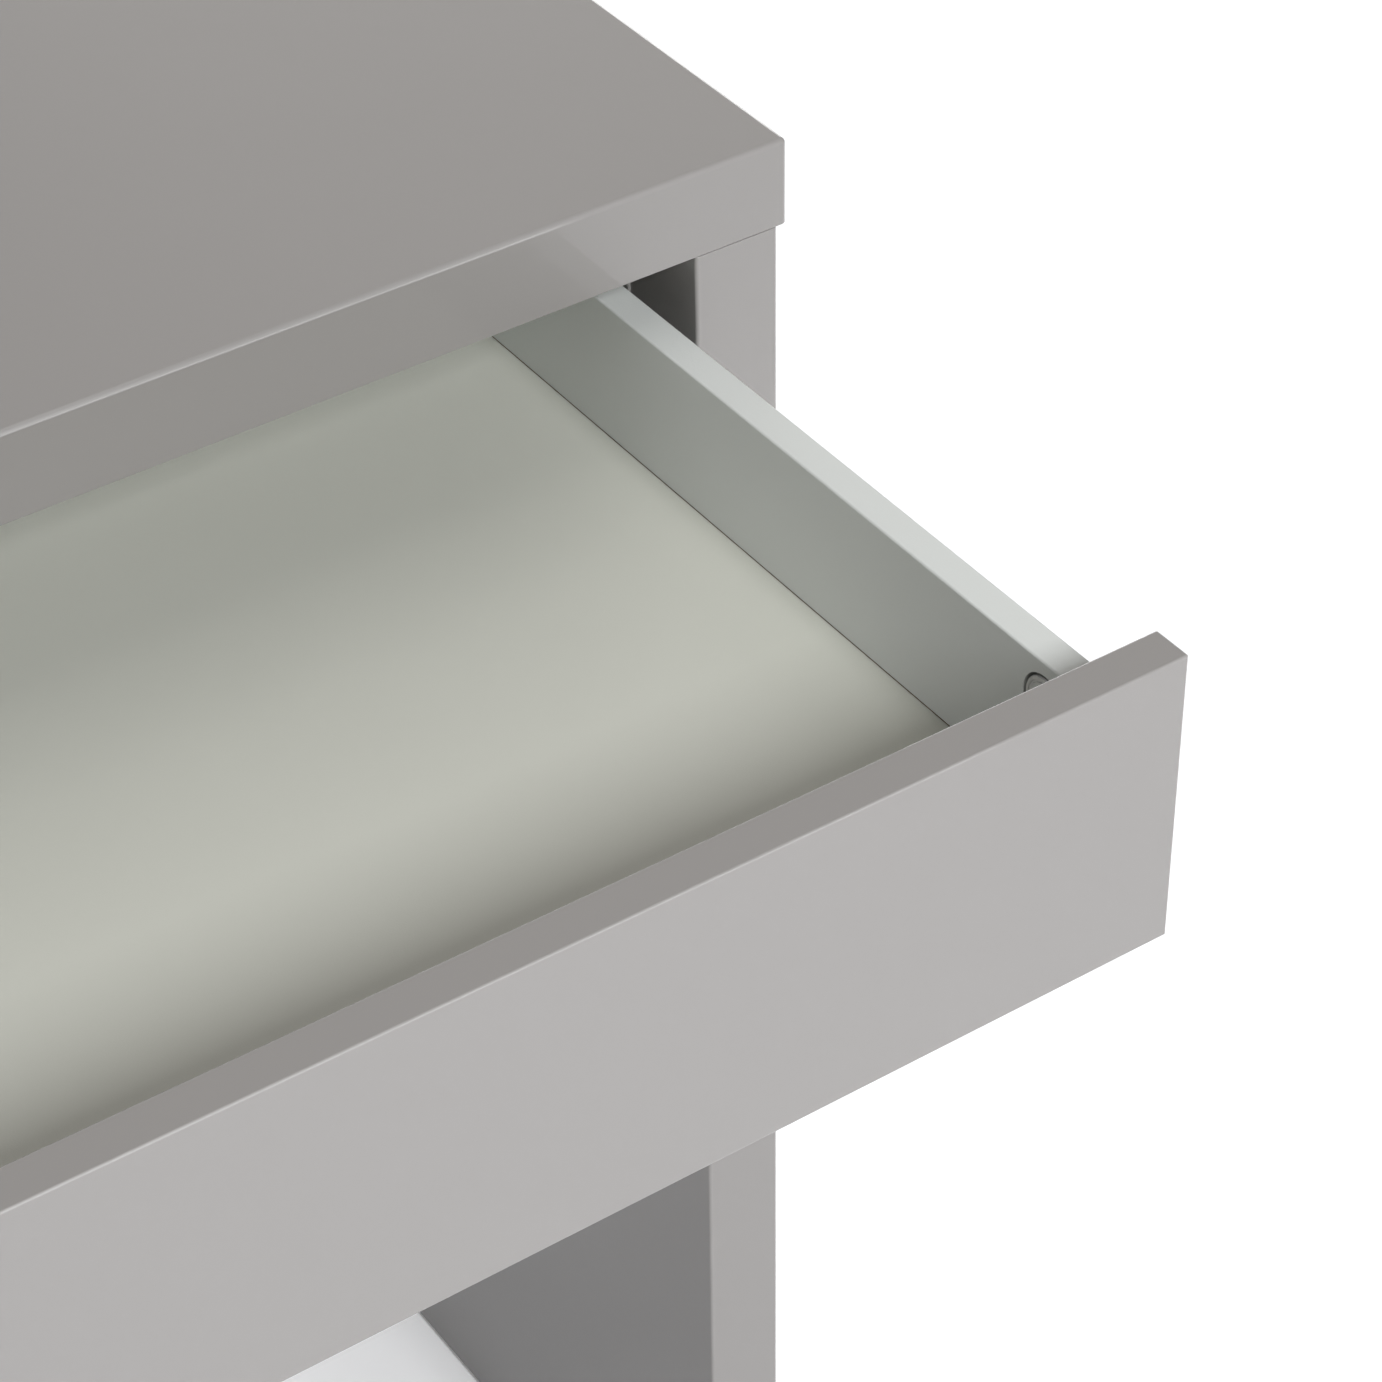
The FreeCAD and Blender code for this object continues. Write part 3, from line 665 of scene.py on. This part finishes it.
def drawer_cam(solid):
    """A cam that faces the middle of the drawer, with a rim, a moat inside it and a slotted face."""
    low, high = corners_of(solid)
    middle = (low + high) / 2
    inward = -1.0 if middle.x > 0 else 1.0
    radius = (high.z - low.z) / 2 - cam_play
    depth = high.x - low.x
    inside = [radius - step for step in (cam_chamfer, *moat_steps)]
    profile = [(0.0, -depth), (inside[0], -depth), (radius, -depth + cam_chamfer),
               (radius, -cam_rim - cam_chamfer), (inside[0], -cam_rim), (inside[1], -cam_rim),
               (inside[2], -cam_moat), (inside[3], -cam_moat), (inside[4], -cam_face), (0.0, -cam_face)]
    slot_length = radius * slot_share
    centre = (0.0, 0.0, 0.0)
    disc = carved(lathed(profile),
                  block((slot_length, slot_width, slot_depth), centre),
                  block((slot_width, slot_length, slot_depth), centre),
                  block((bolt_reach, bolt_way, depth * 0.5), (radius, 0.0, -depth * 0.62)))
    outward = Vector((inward, 0.0, 0.0)).to_track_quat("Z", "Y").to_matrix().to_4x4()
    turned = Matrix.Rotation(cam_turn, 4, "X")
    face = middle + Vector((inward * depth / 2, cam_slip, -cam_drop))
    disc.transform(Matrix.Translation(face) @ turned @ outward)
    return disc


cam_discs = [drawer_cam(solid) for solid in solids_of("drawer_cams")]
put("drawer_cam_discs", joined("drawer_cam_discs", cam_discs, cast_zinc),
    "drawer", "zinc_casting", "drawer_cams")


# ---- Dowels --------------------------------------------------------------------------------------
# Turned beech pegs with chamfered ends. They are glued into the ends of the boards and line the joints up
# while the cams are tightened, and are out of sight once the table is together.
def beech_material():
    """Raw beech with short darker flecks along the grain."""
    made, tree = new_material("beech")
    fleck = use_group(tree, hairlines, Scale=500.0, Stretch=0.15, Turn=0.0, Share=0.2)
    colour = blend_colours(tree, fleck, (0.52, 0.36, 0.21), (0.33, 0.20, 0.10))
    finish_material(tree, Base_Color=colour, Roughness=0.75, Normal=bump(tree, fleck, 0.00005))
    return made


beech = beech_material()
for name in ("carcass_dowels", "drawer_dowels"):
    dress(name, beech)


# ---- Runners and rollers -------------------------------------------------------------------------
# Roll-formed steel strips with a white epoxy powder coat, screwed to the panels and under the drawer's
# sides. Each carries one white nylon roller, moulded with a recessed web, on a riveted pin.
def epoxy_coat_material():
    """White powder coat: a soft orange-peel skin, greyed where rollers and flanges rub."""
    made, tree = new_material("epoxy_coat")
    rubbed = use_group(tree, uneven, Scale=30.0, Detail=4.0, Low=0.0, High=1.0)
    colour = blend_colours(tree, rubbed, (0.72, 0.72, 0.70), (0.62, 0.62, 0.60))
    roughness = use_group(tree, uneven, Scale=80.0, Detail=2.0, Low=0.34, High=0.44)
    peel = use_group(tree, uneven, Scale=700.0, Detail=2.0, Low=0.0, High=1.0)
    finish_material(tree, Base_Color=colour, Roughness=roughness, Normal=bump(tree, peel, 0.00005))
    return made


epoxy_coat = epoxy_coat_material()
nylon = moulded_plastic("nylon", (0.70, 0.70, 0.67), (0.60, 0.60, 0.57), fine=1500.0)


roller_bore = 0.00255
roller_hub = 0.0042
rim_thickness = 0.0022
web_recess = 0.0013
web_fillet = 0.0003
tread_crown = ((0.0007, 0.0), (0.0002, 0.0005), (0.0, 0.0012))
roller_steps = 64
pocket_radius = 0.0009
pocket_steps = 16
pockets_per_roller = 6


def ring_mesh(name, section, steps):
    """A ring turned about X from a closed outline of (radius, place along X) points."""
    shape = bmesh.new()
    angles = [math.tau * step / steps for step in range(steps)]
    rings = []
    for reach, along in section:
        places = [(along, reach * math.cos(angle), reach * math.sin(angle)) for angle in angles]
        rings.append([shape.verts.new(place) for place in places])
    for under, over in zip(rings, rings[1:] + rings[:1]):
        for step in range(steps):
            after = (step + 1) % steps
            shape.faces.new((under[step], under[after], over[after], over[step]))
    bmesh.ops.recalc_face_normals(shape, faces=shape.faces[:])
    ring = bpy.data.meshes.new(name)
    shape.to_mesh(ring)
    shape.free()
    return ring


def roller_mesh(node):
    """A wheel with a crowned tread, a recessed web between rim and hub, and round pockets in the web."""
    low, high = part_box(node)
    middle = (low + high) / 2
    half = (high.x - low.x) / 2
    radius = (high.z - low.z) / 2
    rim = radius - rim_thickness
    web = half - web_recess
    tread = [(radius - drop, half - back) for drop, back in tread_crown]
    outer = [(rim, half)] + tread + [(reach, -along) for reach, along in reversed(tread)] + [(rim, -half)]
    inner = [(rim - web_fillet, -web), (roller_hub + web_fillet, -web), (roller_hub, -half),
             (roller_bore, -half), (roller_bore, half), (roller_hub, half),
             (roller_hub + web_fillet, web), (rim - web_fillet, web)]
    pocket_ring = (roller_hub + rim) / 2
    pockets = []
    for number in range(pockets_per_roller):
        angle = math.tau * number / pockets_per_roller
        pocket_outline = [(0.0, -half), (pocket_radius, -half), (pocket_radius, half), (0.0, half)]
        pocket = lathed(pocket_outline, pocket_steps)
        pocket.transform(Matrix.Rotation(math.radians(90.0), 4, "Y"))
        place = (0.0, math.cos(angle) * pocket_ring, math.sin(angle) * pocket_ring)
        pocket.transform(Matrix.Translation(place))
        pockets.append(pocket)
    wheel = carved(ring_mesh(node, outer + inner, roller_steps), *pockets)
    wheel.transform(Matrix.Translation(middle))
    return joined(node + "_wheel", [wheel], nylon)


for side in ("left", "right"):
    for runner in ("cabinet_runner_", "drawer_runner_"):
        dress(runner + side, epoxy_coat)
    for roller, body in (("cabinet_roller_", "front_roller_"), ("drawer_roller_", "rear_roller_")):
        put(roller + side + "_wheel", roller_mesh(roller + side), body + side, "nylon", roller + side)


# ---- Drawer front --------------------------------------------------------------------------------
# A thinner board with the same lacquer on all faces and crisper edges. It has no handle: it is pulled
# by its lower edge, which hangs below the drawer's sides.
lacquered_board("drawer_front", "drawer", upright=0.0008, upper=0.0008, lower=0.0008)


# ---- Drawer box ----------------------------------------------------------------------------------
# Chipboard sides and back wrapped in pale grey satin foil, raw on their sawn ends, and a thin fibreboard
# bottom with a warmer foil on top and bare brown below. Where the bottom runs in the grooves that hold it, it
# is painted dark brown as painted shade in the joints.
def facing_group():
    """A mask of the faces that look along Direction."""
    tree = bpy.data.node_groups.new("facing", "ShaderNodeTree")
    tree.interface.new_socket("Direction", in_out="INPUT", socket_type="NodeSocketVector")
    tree.interface.new_socket("Mask", in_out="OUTPUT", socket_type="NodeSocketFloat")
    given = tree.nodes.new("NodeGroupInput")
    place = shader(tree, "ShaderNodeTexCoord")
    along = shader(tree, "ShaderNodeVectorMath", {0: place.outputs["Normal"], 1: given.outputs["Direction"]},
                   operation="DOT_PRODUCT")
    mask = shader(tree, "ShaderNodeMath", {0: along.outputs["Value"], 1: 0.7}, operation="GREATER_THAN")
    shader(tree, "NodeGroupOutput", {"Mask": mask.outputs["Value"]})
    return tree


def beyond_group():
    """A mask of what is further than Limit to the left or right of the middle."""
    tree = bpy.data.node_groups.new("beyond", "ShaderNodeTree")
    tree.interface.new_socket("Limit", in_out="INPUT", socket_type="NodeSocketFloat")
    tree.interface.new_socket("Mask", in_out="OUTPUT", socket_type="NodeSocketFloat")
    given = tree.nodes.new("NodeGroupInput")
    place = shader(tree, "ShaderNodeTexCoord")
    parts = shader(tree, "ShaderNodeSeparateXYZ", {"Vector": place.outputs["Object"]})
    reach = shader(tree, "ShaderNodeMath", {0: parts.outputs["X"]}, operation="ABSOLUTE")
    mask = shader(tree, "ShaderNodeMath", {0: reach.outputs["Value"], 1: given.outputs["Limit"]},
                  operation="GREATER_THAN")
    shader(tree, "NodeGroupOutput", {"Mask": mask.outputs["Value"]})
    return tree


facing = facing_group()
beyond = beyond_group()


def foil_material(name, dark, light, bare_way, groove_shade_beyond, bare_dark, bare_light, grit):
    """Foil with a faint mottle and a dry, fibrous skin. Faces that look along bare_way are raw board, of
    chips or fibres about 1/grit metres across. The edges further out than the given limit get the same bare
    colours as painted shade in the grooves."""
    bare_dryness = 0.45
    bare_relief = 6.0
    made, tree = new_material(name)
    mottle = use_group(tree, uneven, Scale=7.0, Detail=3.0, Low=0.0, High=1.0)
    foil = blend_colours(tree, mottle, dark, light)
    place = shader(tree, "ShaderNodeTexCoord")
    chips = shader(tree, "ShaderNodeTexVoronoi", {"Vector": place.outputs["Object"], "Scale": grit})
    bare = blend_colours(tree, chips.outputs["Color"], bare_dark, bare_light)
    # Painted shade: beyond the groove mouths the bare colours stand for the shade in the joints where the
    # bottom runs in its grooves. Elsewhere the mask marks raw board.
    raw = shader(tree, "ShaderNodeMath", {0: use_group(tree, facing, Direction=bare_way),
                                          1: use_group(tree, beyond, Limit=groove_shade_beyond)}, operation="MAXIMUM")
    raw = raw.outputs["Value"]
    colour = shader(tree, "ShaderNodeMix", {0: raw, 6: foil, 7: bare}, data_type="RGBA").outputs[2]
    satin = use_group(tree, uneven, Scale=30.0, Detail=4.0, Low=0.36, High=0.44)
    roughness = add_share(tree, satin, raw, bare_dryness)
    fibre = use_group(tree, uneven, Scale=1400.0, Detail=3.0, Low=0.0, High=1.0)
    rough_skin = shader(tree, "ShaderNodeMath", {0: raw, 1: chips.outputs["Distance"]}, operation="MULTIPLY")
    height = add_share(tree, fibre, rough_skin.outputs["Value"], bare_relief)
    finish_material(tree, Base_Color=colour, Roughness=roughness, Normal=bump(tree, height, 0.00002))
    return made


far_out = 1.0
groove_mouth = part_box("drawer_side_right")[0].x
side_foil = foil_material("side_foil", (0.668, 0.688, 0.666), (0.683, 0.703, 0.681), (0.0, 1.0, 0.0), far_out,
                          (0.30, 0.20, 0.11), (0.62, 0.47, 0.30), 700.0)
# The bottom's bare colours are dark brown. On its underside they are its raw fibreboard, and beyond the
# groove mouths they are painted shade in the grooves.
bottom_foil = foil_material("bottom_foil", (0.588, 0.592, 0.530), (0.603, 0.607, 0.545), (0.0, 0.0, -1.0),
                            groove_mouth, (0.16, 0.11, 0.065), (0.25, 0.17, 0.105), 1600.0)
for name in ("drawer_side_left", "drawer_side_right", "drawer_back"):
    dress(name, side_foil)
dress("drawer_bottom", bottom_foil)
